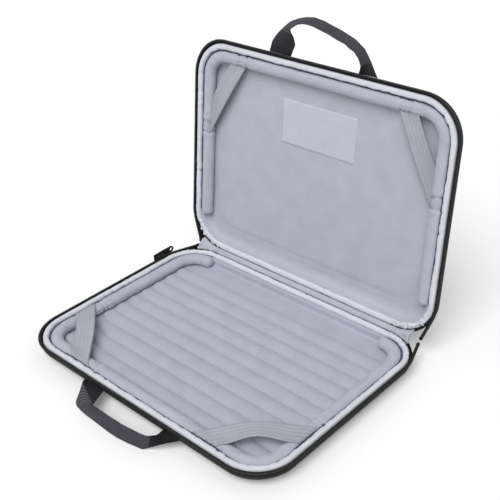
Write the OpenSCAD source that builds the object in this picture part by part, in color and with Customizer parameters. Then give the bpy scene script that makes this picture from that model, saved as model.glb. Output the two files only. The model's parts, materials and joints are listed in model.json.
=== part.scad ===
// Zipped hard case with a padded lining, shown open with the lid leaning back.
// Both halves are the same moulding. A half is drawn in its own frame: X to the right, Y towards
// the hinge, Z = 0 on the plane where the two halves meet, and the half below that plane.
// A section is drawn with x = distance outwards from the case's outline and y = height.

/* [Case] */
// Width of the case over the zip tape
case_w = 350; // [300:1:420]
// Depth of the case from the front wall to the hinge wall
case_d = 256; // [220:1:320]
// Depth of each half below the meeting plane
half_h = 22; // [20:0.5:30]
// Corner radius of the case seen from above
corner_r = 44; // [38:1:60]
// Angle that the lid stands open
open_angle = 97.5; // [60:0.5:125]

/* [Shell] */
// Thickness of the moulded shell
shell_t = 4; // [3:0.25:5]
// How far the shell's curved edge reaches in over the flat
edge_w = 34; // [26:1:36]

/* [Rim] */
// Gap from the meeting plane to the top of the rim binding
rim_gap = 0.5; // [0.4:0.1:1.5]
// Width of the rim binding
rim_w = 9; // [7:0.5:11]
// Height of the rim binding
rim_h = 4.8; // [4:0.2:6]
// Groove between the zip tape's outer face and the rim binding
rim_groove = 2.5; // [2.3:0.1:3]

/* [Zip] */
// Height of the zip tape's lower edge below the meeting plane
tape_h = 7.5; // [6.8:0.1:9]
// Thickness of the zip tape and of the spine cover
tape_t = 0.8; // [0.6:0.1:0.9]
// Radius of one zip coil
coil_r = 1.6; // [1.3:0.1:1.8]
// Gap from the meeting plane to the zip coil
coil_gap = 0.55; // [0.5:0.05:0.8]
// Angle round the hinge corner where the tape leaves the wall
tail_angle = 20; // [10:1:25]
// Length of the tape's free end behind that corner
tail_l = 27; // [16:1:27]
// Radius of the stop on each coil's end
stop_r = 1.9; // [1.5:0.1:2.2]
// Length of the stop on each coil's end
stop_l = 3.6; // [3:0.2:5]

/* [Slider] */
// Length of the zip slider
slider_l = 12; // [10:0.5:16]
// Width of the zip slider
slider_w = 10; // [8:0.2:10]
// Thickness of the slider's two plates
plate_t = 1.1; // [0.9:0.1:1.2]
// Thickness of the post that joins the two plates
post_t = 0.5; // [0.4:0.1:0.5]
// Radius of the puller's crossbar
pin_r = 0.7; // [0.5:0.1:0.9]
// Length of the puller from its crossbar
puller_l = 27; // [20:1:34]
// Width of the puller's tab
puller_w = 8; // [7:0.5:10]

/* [Lining] */
// Depth of the lining's floor below the meeting plane
floor_h = 13.5; // [12.5:0.1:14]
// Radius of the foam bumper round the inside
bumper_r = 6; // [5:0.1:6]
// Pitch of the vent ribs across the base
rib_pitch = 19; // [16:0.5:26]
// Width of a vent rib
rib_w = 13; // [10:0.5:14]
// Height of a vent rib
rib_h = 3; // [2:0.25:3.5]
// Number of vent ribs
rib_count = 10; // [6:1:10]
// Distance of the ribs' middle behind the case's centre
rib_shift = -4.5; // [-8:0.5:0]
// Width of the patch sewn to the lid's lining
patch_w = 100; // [60:1:140]
// Height of that patch
patch_l = 50; // [30:1:70]
// Thickness of that patch
patch_t = 0.9; // [0.6:0.1:1.5]
// Distance from the lid's front wall to the patch
patch_inset = 47; // [40:1:60]

/* [Straps] */
// Width of a corner strap
strap_w = 20; // [14:1:25]
// Thickness of a corner strap
strap_t = 0.9; // [0.6:0.1:1]
// Along the front, from the side wall to where a base strap crosses the bumper
base_strap_front = 76; // [62:1:90]
// Along the side, from the front wall to where a base strap crosses the bumper
base_strap_side = 71; // [62:1:90]
// Along the front, from the side wall to where a lid strap crosses the bumper
lid_strap_front = 67; // [62:1:90]
// Along the side, from the front wall to where a lid strap crosses the bumper
lid_strap_side = 101; // [64:1:115]

/* [Handles] */
// Webbing width where a handle leaves the seam on the left
root_w = 30; // [24:1:34]
// Webbing width where a handle leaves the seam on the right
right_root_w = 23; // [21:1:30]
// Webbing width along the grip
grip_w = 20.4; // [16:0.2:20.4]
// Thickness of the webbing
web_t = 2; // [1.6:0.1:2.2]
// Height of a handle's seam below the meeting plane
seam_h = 8.7; // [8.6:0.1:9.5]
// Half the distance between the base handle's roots
base_handle_x = 57; // [50:1:80]
// How far the base handle stands off the wall
base_handle_a = 26; // [22:1:40]
// Half the distance between the lid handle's roots
lid_handle_x = 58; // [50:1:80]
// How far the lid handle stands off the wall
lid_handle_a = 41; // [30:1:55]

/* [Hinge] */
// Distance of the hinge axis behind the case's hinge wall
hinge_gap = 0.7; // [0.7:0.1:2]
// Radius of the fold of the spine fabric round the hinge axis
fold_r = 0.45; // [0.3:0.05:0.5]

/* [Hidden] */

$fn = 96;
CURVE_STEPS = 18;        // straight pieces in a drawn curve of a section
clear = 0.3;             // room between pieces that move past each other
touch = 0.05;            // room between soft pieces that lie on each other

side_x = case_w / 2;
wall_y = case_d / 2;
arc_x = side_x - corner_r;             // centres of the corner arcs
arc_y = wall_y - corner_r;
hinge_y = wall_y + hinge_gap;
hinge_z = half_h;
rim_top = -rim_gap;
rim_foot = -rim_gap - rim_h;           // the shell's wall ends here, under the binding
rim_in = rim_groove + rim_w;           // inner edge of the binding
shell_in = -(half_h - shell_t);        // the shell's inner floor
lining_z = -floor_h;                   // the lining's floor
bumper_o = rim_in + touch + bumper_r;  // the bumper's axis, inwards from the outline
bumper_z = lining_z + touch + bumper_r;
bumper_in = bumper_o + bumper_r;       // inner edge of the bumper

coil_z = -(coil_gap + coil_r);
coil_o = 1.1;                          // centre of the coil outside the tape's outer face
coil_out = coil_o + coil_r;
spine_start = 32;                      // angle round the hinge corner where the spine cover starts

SHELL = "#2b2b30";
LINING = "#b9bcc8";
FLOOR = "#a9adba";
BINDING = "#dfe2ea";
TAPE = "#1d1b1c";
COIL = "#141314";
STRAP = "#bdbcc8";
WEBBING = "#47454d";
METAL = "#3a3a3e";

function arc(cx, cy, rx, ry, a0, a1, n = CURVE_STEPS) =
    [for (i = [0:n]) let (a = a0 + (a1 - a0) * i / n) [cx + rx * cos(a), cy + ry * sin(a)]];
function unit(v) = v / norm(v);
function smooth(t) = let (c = min(1, max(0, t))) c * c * (3 - 2 * c);

// ---- Placing the two halves ----

module in_base() translate([0, 0, half_h]) children();

module in_lid()
    translate([0, hinge_y, hinge_z]) rotate([-open_angle, 0, 0]) translate([0, -hinge_y, 0])
        mirror([0, 0, 1]) children();

// ---- Sweeping a section round the outline ----
// Sides and corners count anticlockwise from the right side and from the corner after it.

function side_reach(k) = k % 2 == 0 ? side_x : wall_y;
function side_half(k) = k % 2 == 0 ? arc_y : arc_x;

// A straight run of the section along side k, between two places counted from the side's middle
module run(k, from, to)
    rotate([0, 0, 90 * k]) translate([side_reach(k), to, 0]) rotate([90, 0, 0])
        linear_extrude(to - from) children();

module side(k) run(k, -side_half(k), side_half(k)) children();

module corner_at(k) {
    sx = k == 0 || k == 3 ? 1 : -1;
    sy = k < 2 ? 1 : -1;
    translate([sx * arc_x, sy * arc_y, 0]) rotate([0, 0, 90 * k]) children();
}

// The section turned round corner k, from one angle to another
module corner(k, from = 0, to = 90)
    corner_at(k) rotate([0, 0, from]) rotate_extrude(angle = to - from)
        translate([corner_r, 0]) children();

// The rounded end of a bar of radius r at distance o inwards, on side k at place p. It points along
// the side, forwards or backwards.
module bar_end(k, p, o, z, r, forwards)
    rotate([0, 0, 90 * k]) translate([side_reach(k) - o, p, z]) rotate([forwards ? -90 : 90, 0, 0])
        rotate_extrude() intersection() {
            circle(r);
            square(r);
        }

module ring() {
    for (k = [0:3]) {
        side(k) children();
        corner(k) children();
    }
}

// A plate that fills the outline to distance o inwards, between two heights
module plate(o, z0, z1) {
    r = corner_r - o;
    translate([0, 0, z0]) linear_extrude(z1 - z0) union() {
        square([case_w - 2 * o, 2 * arc_y], center = true);
        square([2 * arc_x, case_d - 2 * o], center = true);
        for (sx = [-1, 1], sy = [-1, 1]) translate([sx * arc_x, sy * arc_y]) circle(r);
    }
}

// ---- Shell ----

outer_curve = arc(-edge_w, -tape_h, edge_w, half_h - tape_h, 0, -90);
inner_curve = arc(-edge_w, -tape_h, edge_w - shell_t, half_h - tape_h - shell_t, -90, 0);

module shell_section()
    polygon(concat(outer_curve, inner_curve,
                   [[-shell_t, rim_foot], [-tape_t, rim_foot], [-tape_t, -tape_h]]));

module shell() {
    ring() shell_section();
    plate(edge_w, -half_h, shell_in);
}

// ---- Lining: a padded tray whose raised edge backs the rim, with its floor inside ----

module liner_section()
    polygon(concat([[-shell_t, rim_foot], [-rim_in, rim_foot], [-rim_in, lining_z],
                    [-edge_w, lining_z]], inner_curve));

module liner() {
    ring() liner_section();
    plate(edge_w, shell_in, lining_z);
}

// Pillow ribs across the base's floor, which let air pass under what lies on them
module vent_ribs() {
    r = (rib_w * rib_w / 4 + rib_h * rib_h) / (2 * rib_h);
    half = side_x - bumper_in - rib_w / 2 - clear;
    intersection() {
        for (i = [0:rib_count - 1])
            translate([0, rib_shift + (i - (rib_count - 1) / 2) * rib_pitch,
                       lining_z + rib_h - r]) {
                rotate([0, 90, 0]) cylinder(r = r, h = 2 * half, center = true);
                for (s = [-1, 1]) translate([s * half, 0, 0]) sphere(r);
            }
        translate([-side_x, -wall_y, lining_z]) cube([case_w, case_d, rib_h + 1]);
    }
}

// ---- Rim binding: the folded fabric edge round each half ----

module binding_section() {
    top_out = 1.2;
    top_in = 3;
    polygon(concat(arc(-rim_groove - top_out, rim_top - top_out, top_out, top_out, 0, 90, 5),
                   arc(-rim_in + top_in, rim_top - top_in, top_in, top_in, 90, 180, 8),
                   [[-rim_in, rim_foot], [-rim_groove, rim_foot]]));
}

module binding() ring() binding_section();

// ---- Bumper: the foam roll inside the rim ----

module bumper_section() translate([-bumper_o, bumper_z]) circle(bumper_r);

module bumper_front() {
    side(3) bumper_section();
    corner(2) bumper_section();
    corner(3) bumper_section();
}

// The base's roll runs on round both hinge corners
module base_roll() {
    bumper_front();
    for (k = [0, 2]) side(k) bumper_section();
    for (k = [0, 1]) corner(k) bumper_section();
    for (s = [-1, 1]) bar_end(1, s * arc_x, bumper_o, bumper_z, bumper_r, s < 0);
}

// The lid's roll stops before the hinge corners
module lid_roll() {
    bumper_front();
    side(0) bumper_section();
    side(2) bumper_section();
    bar_end(0, arc_y, bumper_o, bumper_z, bumper_r, true);
    bar_end(2, -arc_y, bumper_o, bumper_z, bumper_r, false);
}

// ---- Zip ----

module tape_section(inset = 0)
    translate([inset - tape_t, inset - tape_h])
        square([tape_t - 2 * inset, tape_h - coil_gap - coil_r / 2 - 2 * inset]);

module coil_section(inset = 0) {
    r = coil_r - inset;
    lap = acos((inset - coil_o) / r);      // where the coil's round meets the tape's outer face
    polygon(arc(coil_o, coil_z, r, r, -lap, lap, 16));
}

// What runs round the zip: the first child along three sides, round the front corners and into the
// hinge corners, and the second child, a little smaller, in the free tails that leave the wall there
module zip_run() {
    side(3) children(0);
    for (m = [0, 1]) mirror([m, 0, 0]) {
        corner(3) children(0);
        side(0) children(0);
        corner(0, 0, tail_angle) children(0);
        at_tail() translate([0, tail_l, 0]) rotate([90, 0, 0]) linear_extrude(tail_l + tail_lap)
            children(1);
    }
}

tail_lap = 1;
tail_inset = 0.05;

// The place on the right where the tape leaves the wall
module at_tail() corner_at(0) rotate([0, 0, tail_angle]) translate([corner_r, 0, 0]) children();

module zip_stop()
    translate([coil_o - tape_t / 2, tail_l + 3 * touch, coil_z]) rotate([-90, 0, 0]) {
        cylinder(r = stop_r, h = stop_l - stop_r);
        translate([0, 0, stop_l - stop_r]) sphere(stop_r);
    }

module zip_stops() for (m = [0, 1]) mirror([m, 0, 0]) at_tail() zip_stop();

module zip_tape() zip_run() {
    tape_section();
    tape_section(tail_inset);
}

module zip_coil() zip_run() {
    coil_section();
    coil_section(tail_inset);
}

// ---- Slider, drawn with x outwards from the tape's outer face and y along the zip ----

module slider_plate(x0) {
    nose = 3;
    translate([x0, 0, 0]) rotate([0, 90, 0]) linear_extrude(plate_t)
        polygon([[-slider_w / 2, -slider_l / 2], [slider_w / 2, -slider_l / 2],
                 [slider_w / 2, slider_l / 2 - nose], [slider_w / 2 - nose / 2, slider_l / 2],
                 [-slider_w / 2 + nose / 2, slider_l / 2], [-slider_w / 2, slider_l / 2 - nose]]);
}

plate_out = coil_out + clear;                 // inner face of the outer plate
plate_in = -tape_t - clear - plate_t;         // inner plate, in the groove behind the tape
bail_r = pin_r + clear;
bail_t = 0.8;
bail_w = 2.6;
pin_x = plate_out + plate_t + bail_r + 0.2;   // axis of the puller
arm_t = 1;

module slider() {
    slider_plate(plate_out);
    slider_plate(plate_in);
    // post between the two coils, at the leading end
    translate([plate_in, slider_l / 2 - 3.4, -post_t / 2])
        cube([plate_out - plate_in + plate_t, 3, post_t]);
    // bail that holds the puller's crossbar
    difference() {
        translate([pin_x, 0, -bail_w / 2]) union() {
            cylinder(r = bail_r + bail_t, h = bail_w);
            translate([plate_out + plate_t / 2 - pin_x, -bail_r - bail_t, 0])
                cube([pin_x - plate_out - plate_t / 2, 2 * (bail_r + bail_t), bail_w]);
        }
        translate([pin_x, 0, -bail_w]) cylinder(r = bail_r, h = 2 * bail_w);
    }
}

// Puller: crossbar, two arms and a tab with a round end and a finger slot
module puller() {
    arm_z = bail_w / 2 + clear;
    tab_y = bail_r + bail_t + 1.2;
    translate([pin_x, 0, 0]) {
        translate([0, 0, -arm_z - arm_t]) cylinder(r = pin_r, h = 2 * (arm_z + arm_t));
        for (s = [-1, 1])
            translate([-pin_r, 0, s > 0 ? arm_z : -arm_z - arm_t])
                cube([2 * pin_r, tab_y + 1, arm_t]);
        translate([-pin_r, 0, 0]) rotate([0, 90, 0]) linear_extrude(2 * pin_r)
            difference() {
                union() {
                    translate([-puller_w / 2, tab_y])
                        square([puller_w, puller_l - tab_y - puller_w / 2]);
                    translate([0, puller_l - puller_w / 2]) circle(puller_w / 2);
                }
                translate([0, puller_l - puller_w / 2]) circle(puller_w / 4);
            }
    }
}

// The slider waits at the left hinge end of the zip, on the base's coil
module at_slider()
    in_base() translate([-side_x, arc_y - slider_l, 0]) mirror([1, 0, 0]) children();

// ---- Strips of webbing, as rings of four points ----

// A closed tube of four-sided rings
module strip(rings) {
    n = len(rings);
    points = [for (r = rings, p = r) p];
    sides = [for (i = [0:n - 2], j = [0:3])
        let (a = 4 * i + j, b = 4 * i + (j + 1) % 4) each [[a, b, b + 4], [a, b + 4, a + 4]]];
    last = 4 * n - 4;
    ends = [[2, 1, 0], [3, 2, 0], [last, last + 1, last + 2], [last, last + 2, last + 3]];
    polyhedron(points, concat(sides, ends), convexity = 6);
}

// ---- Elastic corner straps ----
// A strap is sewn in beside the front roll and beside the side roll of one front corner. Its rings
// lie along the roll that it bends over, and it runs straight from crest to crest.

wrap = 57;                             // how far round each roll a strap runs, in degrees
wrap_r = bumper_r + touch + strap_t / 2;
wrap_steps = 8;

// The direction of a strap seen from above, from its front crest to its side crest
function strap_way(front, along) = unit([front - bumper_o, along - bumper_o]);

// A ring at angle a round the front roll
function front_ring(front, along, a) =
    let (way = strap_way(front, along), half = strap_w / 2 / way[1],
         x = side_x - front - wrap_r * a * PI / 180 * way[0] / way[1])
    [for (s = [[-1, -1], [1, -1], [1, 1], [-1, 1]])
        let (r = wrap_r + s[1] * strap_t / 2)
        [x + s[0] * half, -wall_y + bumper_o - r * sin(a), bumper_z + r * cos(a)]];

// A ring at angle a round the side roll
function side_ring(front, along, a) =
    let (way = strap_way(front, along), half = strap_w / 2 / way[0],
         y = -wall_y + along + wrap_r * a * PI / 180 * way[1] / way[0])
    [for (s = [[1, -1], [-1, -1], [-1, 1], [1, 1]])
        let (r = wrap_r + s[1] * strap_t / 2)
        [side_x - bumper_o + r * sin(a), y + s[0] * half, bumper_z + r * cos(a)]];

module strap(front, along)
    strip(concat([for (i = [wrap_steps:-1:0]) front_ring(front, along, wrap * i / wrap_steps)],
                 [for (i = [0:wrap_steps]) side_ring(front, along, wrap * i / wrap_steps)]));

// ---- Handles ----
// Flat webbing that leaves the seam lying along the wall, turns on edge and runs across as the grip.
// Each row of a loop is a place on it, as shares of the half span, of the stand-off and of the turn.

base_loop = [[-0.965, 0, 0], [-0.97, 0.42, 0.6], [-0.9, 0.8, 1], [-0.44, 0.98, 1],
             [0.16, 1, 1], [0.64, 0.88, 1], [0.85, 0.42, 0.6], [1.06, 0, 0]];
lid_loop = [[-0.95, 0, 0], [-0.845, 0.37, 0.06], [-0.76, 0.74, 0.6], [-0.38, 1, 1],
            [0.155, 0.864, 1], [0.7, 0.61, 1], [0.9, 0.3, 0.6], [1.045, 0, 0]];

root_r = web_t / 2;
bead_r = root_r + 0.05;                // the rounded fold at the seam, on the handle's pivot
root_gap = clear + bead_r;             // from the wall to that pivot
grip_z = -(rim_gap + 0.5 + grip_w / 2);

function spline(P, u) =
    let (n = len(P), i = min(floor(u), n - 2), t = u - i, p1 = P[i], p2 = P[i + 1],
         p0 = i > 0 ? P[i - 1] : 2 * p1 - p2, p3 = i + 2 < n ? P[i + 2] : 2 * p2 - p1)
    (2 * p1 + (p2 - p0) * t + (2 * p0 - 5 * p1 + 4 * p2 - p3) * t * t
     + (3 * p1 - p0 - 3 * p2 + p3) * t * t * t) / 2;

function loop_place(loop, hx, ha, u) =
    let (q = spline(loop, u)) [q[0] * hx, root_gap + max(0, q[1]) * (ha - root_gap)];

function loop_ring(loop, hx, ha, u) =
    let (last = len(loop) - 1, d = 0.45, p = loop_place(loop, hx, ha, u),
         way = unit(loop_place(loop, hx, ha, min(last, u + d))
                    - loop_place(loop, hx, ha, max(0, u - d))),
         first = u < last / 2, lean = smooth(min(u, last - u) / 1.2),
         t = unit([0, first ? 1 : -1] * (1 - lean) + way * lean),
         turn = min(1, max(0, spline(loop, u)[2])), psi = 90 * turn,
         w = (first ? root_w : right_root_w) * (1 - turn) + grip_w * turn,
         z = -seam_h + (grip_z + seam_h) * turn,
         wide = [cos(psi) * t[1], -cos(psi) * t[0], sin(psi)],
         thick = cross([t[0], t[1], 0], wide))
    [for (s = [[1, -1], [-1, -1], [-1, 1], [1, 1]])
        [p[0], p[1], z] + wide * s[0] * w / 2 + thick * s[1] * root_r];

module root_bead(x, w)
    translate([x - w / 2, root_gap, -seam_h]) rotate([0, 90, 0]) cylinder(r = bead_r, h = w);

module handle(loop, hx, ha) {
    steps = 49;
    last = len(loop) - 1;
    translate([0, -wall_y, 0]) mirror([0, 1, 0]) {
        strip([for (i = [0:steps]) loop_ring(loop, hx, ha, last * i / steps)]);
        root_bead(loop[0][0] * hx, root_w);
        root_bead(loop[last][0] * hx, right_root_w);
    }
}

// ---- Spine: the fabric that joins the halves along the hinge wall ----

// Straight part of the cover. One leaf carries the fold round the hinge axis, and the other stays
// clear of it.
module cover_leaf(fold) {
    near = hinge_gap - clear / 2;
    difference() {
        polygon([[-tape_t, -tape_h], [0, -tape_h], [0, -2], [near, -1], [near, -fold_r / 2],
                 [near - fold_r, -clear / 2], [-tape_t, -1.5]]);
        if (!fold) translate([hinge_gap, 0]) circle(fold_r + clear);
    }
    if (fold) translate([hinge_gap, 0]) circle(fold_r);
}

module spine_cover(fold) {
    side(1) cover_leaf(fold);
    for (m = [0, 1]) mirror([m, 0, 0]) corner(1, 0, 90 - spine_start)
        translate([-tape_t, -tape_h]) square([tape_t, tape_h - 2]);
}

// Lining strip that covers the join between the two rims
lining_t = 0.7;

module spine_lining()
    run(1, -arc_x, arc_x)
        translate([-rim_groove, -2 - lining_t])
            square([rim_groove - tape_t - touch, lining_t]);

// ---- Sub-parts ----

module base_shell() color(SHELL) in_base() shell();

module base_liner() color(FLOOR) in_base() {
    liner();
    vent_ribs();
}

module base_rim_binding() color(BINDING) in_base() binding();

module base_bumper() color(LINING) in_base() base_roll();

module base_zip_tape() color(TAPE) in_base() zip_tape();

module base_zip_coil() color(COIL) in_base() zip_coil();

module base_zip_stops() color(COIL) in_base() zip_stops();

module base_strap_left() color(STRAP) in_base()
    mirror([1, 0, 0]) strap(base_strap_front, base_strap_side);

module base_strap_right() color(STRAP) in_base() strap(base_strap_front, base_strap_side);

module base_handle() color(WEBBING) in_base()
    handle(base_loop, base_handle_x, base_handle_a);

module base_spine_cover() color(TAPE) in_base() spine_cover(true);

module base_spine_lining() color(LINING) in_base() spine_lining();

module lid_shell() color(SHELL) in_lid() shell();

module lid_liner() color(FLOOR) in_lid() liner();

module lid_rim_binding() color(BINDING) in_lid() binding();

module lid_bumper() color(LINING) in_lid() lid_roll();

module lid_zip_tape() color(TAPE) in_lid() zip_tape();

module lid_zip_coil() color(COIL) in_lid() zip_coil();

module lid_zip_stops() color(COIL) in_lid() zip_stops();

module lid_strap_left() color(STRAP) in_lid()
    mirror([1, 0, 0]) strap(lid_strap_front, lid_strap_side);

module lid_strap_right() color(STRAP) in_lid() strap(lid_strap_front, lid_strap_side);

module lid_handle() color(WEBBING) in_lid()
    handle(lid_loop, lid_handle_x, lid_handle_a);

module lid_patch() color(BINDING) in_lid()
    translate([-patch_w / 2, -wall_y + patch_inset, lining_z]) cube([patch_w, patch_l, patch_t]);

module lid_spine_cover() color(TAPE) in_lid() spine_cover(false);

module lid_spine_lining() color(LINING) in_lid() spine_lining();

module zip_slider() color(METAL) at_slider() slider();

module zip_puller() color(METAL) at_slider() puller();

base_shell();
base_liner();
base_rim_binding();
base_bumper();
base_zip_tape();
base_zip_coil();
base_zip_stops();
base_strap_left();
base_strap_right();
base_handle();
base_spine_cover();
base_spine_lining();
lid_shell();
lid_liner();
lid_rim_binding();
lid_bumper();
lid_zip_tape();
lid_zip_coil();
lid_zip_stops();
lid_strap_left();
lid_strap_right();
lid_handle();
lid_patch();
lid_spine_cover();
lid_spine_lining();
zip_slider();
zip_puller();
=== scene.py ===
import json
import math
import bmesh
import bpy
import numpy as np
from mathutils import Matrix, Vector, noise

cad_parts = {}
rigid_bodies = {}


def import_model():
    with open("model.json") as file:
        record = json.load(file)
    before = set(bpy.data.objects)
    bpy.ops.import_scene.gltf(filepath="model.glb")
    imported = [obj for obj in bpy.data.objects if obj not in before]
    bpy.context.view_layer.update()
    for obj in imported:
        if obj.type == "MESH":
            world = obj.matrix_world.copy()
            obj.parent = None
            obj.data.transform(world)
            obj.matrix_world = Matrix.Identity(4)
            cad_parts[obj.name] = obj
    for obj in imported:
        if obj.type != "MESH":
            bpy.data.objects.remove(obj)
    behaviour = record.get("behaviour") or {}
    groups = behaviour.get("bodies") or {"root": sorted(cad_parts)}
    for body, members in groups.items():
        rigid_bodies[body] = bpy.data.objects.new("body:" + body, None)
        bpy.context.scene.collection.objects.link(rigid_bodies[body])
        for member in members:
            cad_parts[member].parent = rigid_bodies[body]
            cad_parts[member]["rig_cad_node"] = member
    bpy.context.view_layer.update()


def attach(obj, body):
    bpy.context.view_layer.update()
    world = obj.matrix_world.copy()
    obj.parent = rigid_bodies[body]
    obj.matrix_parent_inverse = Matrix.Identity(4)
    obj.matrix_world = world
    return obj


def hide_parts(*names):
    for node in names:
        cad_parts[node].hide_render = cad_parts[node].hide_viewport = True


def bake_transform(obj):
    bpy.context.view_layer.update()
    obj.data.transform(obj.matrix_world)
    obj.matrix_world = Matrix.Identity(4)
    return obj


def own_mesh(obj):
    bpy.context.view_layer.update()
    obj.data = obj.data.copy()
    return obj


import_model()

scene = bpy.context.scene

# ---- Camera, at the photograph's viewing angle, for a frame of 500 by 500 pixels ----
FRAME_PX, SENSOR_MM, FOCAL_PX = 500, 36, 912.13
AZIMUTH, ELEVATION, ROLL_ANGLE = 44.58, 30.96, -3.29  # degrees
HINGE_MIDDLE = Vector((0, 0.1287, 0.022))  # metres
LOOK_AT = Vector((-0.10085, 0.02564, 0))  # metres from the hinge's middle
DISTANCE = 1.12072


def add_camera():
    """Camera that looks at LOOK_AT from the side and height of its two angles."""
    az, el, roll_angle = (math.radians(v) for v in (AZIMUTH, ELEVATION, ROLL_ANGLE))
    back = Vector((math.sin(az) * math.cos(el), -math.cos(az) * math.cos(el), math.sin(el)))
    right = Vector((math.cos(az), math.sin(az), 0))
    up = back.cross(right)
    view_x = right * math.cos(roll_angle) + up * math.sin(roll_angle)
    view_y = -right * math.sin(roll_angle) + up * math.cos(roll_angle)
    at = Matrix((view_x, view_y, back)).transposed().to_4x4()
    at.translation = HINGE_MIDDLE + LOOK_AT + back * DISTANCE
    camera = bpy.data.objects.new("camera", bpy.data.cameras.new("camera"))
    scene.collection.objects.link(camera)
    scene.camera = camera
    camera.matrix_world = at
    camera.data.sensor_width = SENSOR_MM
    camera.data.lens = FOCAL_PX / FRAME_PX * SENSOR_MM
    camera.data.clip_start = 0.05
    camera.data.clip_end = 20


add_camera()

# ---- Measures of the case, in mm. A half has its own frame: X right, Y to the hinge, Z = 0 where the
# halves meet and the half below it. d is a distance outwards from the outline of the walls. ----
HALVES = ("base", "lid")
SIDE_X, WALL_Y = 175, 128  # half the width and half the depth over the walls
HALF_H = 22
CORNER_R = 44
ARC_X, ARC_Y = SIDE_X - CORNER_R, WALL_Y - CORNER_R  # middles of the corners' arcs
OPEN = 97.5  # angle between the halves at rest, in degrees
HINGE_Y, HINGE_Z = WALL_Y + 0.7, HALF_H
LINING_Z = -13.5  # floor of the trays
RIM_TOP, RIM_FOOT = -0.55, -5.3  # the rim band's height
RIM_OUT, RIM_IN = -2.5, -9.0  # its outer and inner side
ROLL_R, ROLL_D, ROLL_Z = 6.0, -17.55, -7.45  # the foam roll as the straps go round it
COIL_D, COIL_Z = 1.1, -2.15  # middle of the zip coil
TAPE_T = 0.8
STEP = 1.8  # usual step along the outline


def place(points, half):
    """Points of a half's own frame, in mm, as metres in the frame of the whole case at rest."""
    p = np.asarray(points, float).reshape(-1, 3)
    if half == "base":
        return (p + (0, 0, HALF_H)) / 1000
    t = math.radians(-OPEN)
    y, z = p[:, 1] - HINGE_Y, -p[:, 2]
    return np.stack([p[:, 0], y * math.cos(t) - z * math.sin(t) + HINGE_Y,
                     y * math.sin(t) + z * math.cos(t) + HINGE_Z], 1) / 1000


def wob(*args):
    """Smooth noise, mostly between -1 and 1, of up to three coordinates. One unit of a coordinate is about
    half a wave. The last one given is often a seed."""
    arrays = np.broadcast_arrays(*[np.asarray(v, float) for v in args])
    flat = [v.ravel() for v in arrays] + [np.zeros(arrays[0].size)] * (3 - len(arrays))
    return np.array([noise.noise(Vector(q)) for q in zip(*flat)]).reshape(arrays[0].shape) * 1.6


def smooth(t):
    """A soft step from 0 at t = 0 to 1 at t = 1."""
    t = np.clip(t, 0, 1)
    return t * t * (3 - 2 * t)


def bell(x, at, width):
    """A bell of height 1 round x = at."""
    return np.exp(-(((x - at) / width) ** 2))


# ---- Materials ----

class Nodes:
    """Short names for making a material's nodes."""

    def __init__(self, name):
        self.mat = bpy.data.materials.new(name)
        self.mat.use_nodes = True
        self.tree = self.mat.node_tree
        self.bsdf = self.tree.nodes["Principled BSDF"]

    def put(self, value, socket):
        if isinstance(value, bpy.types.NodeSocket):
            self.tree.links.new(value, socket)
        elif value is not None:
            socket.default_value = value

    def math(self, op, x, y=None, z=None):
        n = self.tree.nodes.new("ShaderNodeMath")
        n.operation = op
        for v, s in zip((x, y, z), n.inputs):
            self.put(v, s)
        return n.outputs[0]

    def axes(self, of):
        n = self.tree.nodes.new("ShaderNodeSeparateXYZ")
        self.put(of, n.inputs[0])
        return n.outputs

    def cloth(self):
        """Coordinates in mm along and across the cloth, which stay with it when it bends."""
        n = self.tree.nodes.new("ShaderNodeAttribute")
        n.attribute_name = "cloth"
        return n.outputs["Vector"]

    def object(self):
        """Coordinates in mm in the piece's own frame."""
        n = self.tree.nodes.new("ShaderNodeTexCoord")
        s = self.tree.nodes.new("ShaderNodeVectorMath")
        s.operation = "SCALE"
        s.inputs["Scale"].default_value = 1000
        self.put(n.outputs["Object"], s.inputs[0])
        return s.outputs[0]

    def noise(self, at, size, detail=2.0, rough=0.5):
        """Noise with patches of about the size given in mm."""
        n = self.tree.nodes.new("ShaderNodeTexNoise")
        self.put(at, n.inputs["Vector"])
        n.inputs["Scale"].default_value = 1 / size
        n.inputs["Detail"].default_value = detail
        n.inputs["Roughness"].default_value = rough
        return n.outputs[0]

    def stretch(self, at, x, y, z=1.0):
        n = self.tree.nodes.new("ShaderNodeVectorMath")
        n.operation = "MULTIPLY"
        self.put(at, n.inputs[0])
        n.inputs[1].default_value = (x, y, z)
        return n.outputs[0]

    def wave(self, x, pitch, shift=0.0):
        """A wave from 0 to 1 along one coordinate in mm."""
        s = self.math("SINE", self.math("MULTIPLY_ADD", x, 2 * math.pi / pitch, shift))
        return self.math("MULTIPLY_ADD", s, 0.5, 0.5)

    def ramp(self, value, *stops):
        """Colour by value, from stops of a place and a colour."""
        n = self.tree.nodes.new("ShaderNodeValToRGB")
        self.put(value, n.inputs[0])
        el = n.color_ramp.elements
        while len(el) < len(stops):
            el.new(0.5)
        for q, (at, c) in zip(el, stops):
            q.position = at
            q.color = (*c, 1)
        return n.outputs[0]

    def add(self, *terms):
        """Sum of (value, weight) pairs."""
        total = 0.0
        for v, w in terms:
            total = self.math("MULTIPLY_ADD", v, w, total)
        return total

    def bump(self, height, distance):
        """Relief of the height, in metres at height 1."""
        n = self.tree.nodes.new("ShaderNodeBump")
        n.inputs["Strength"].default_value = 1.0
        n.inputs["Distance"].default_value = distance
        self.put(height, n.inputs["Height"])
        self.put(n.outputs[0], self.bsdf.inputs["Normal"])

    def finish(self, colour, rough, **fixed):
        """The material, with plain numbers for the shader's other inputs, by their names."""
        self.put(colour, self.bsdf.inputs["Base Color"])
        self.put(rough, self.bsdf.inputs["Roughness"])
        for key, value in fixed.items():
            self.bsdf.inputs[key.replace("_", " ")].default_value = value
        return self.mat


def tones(c, *shares):
    """A colour made darker or lighter by each share."""
    return [tuple(v * s for v in c) for s in shares]


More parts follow.
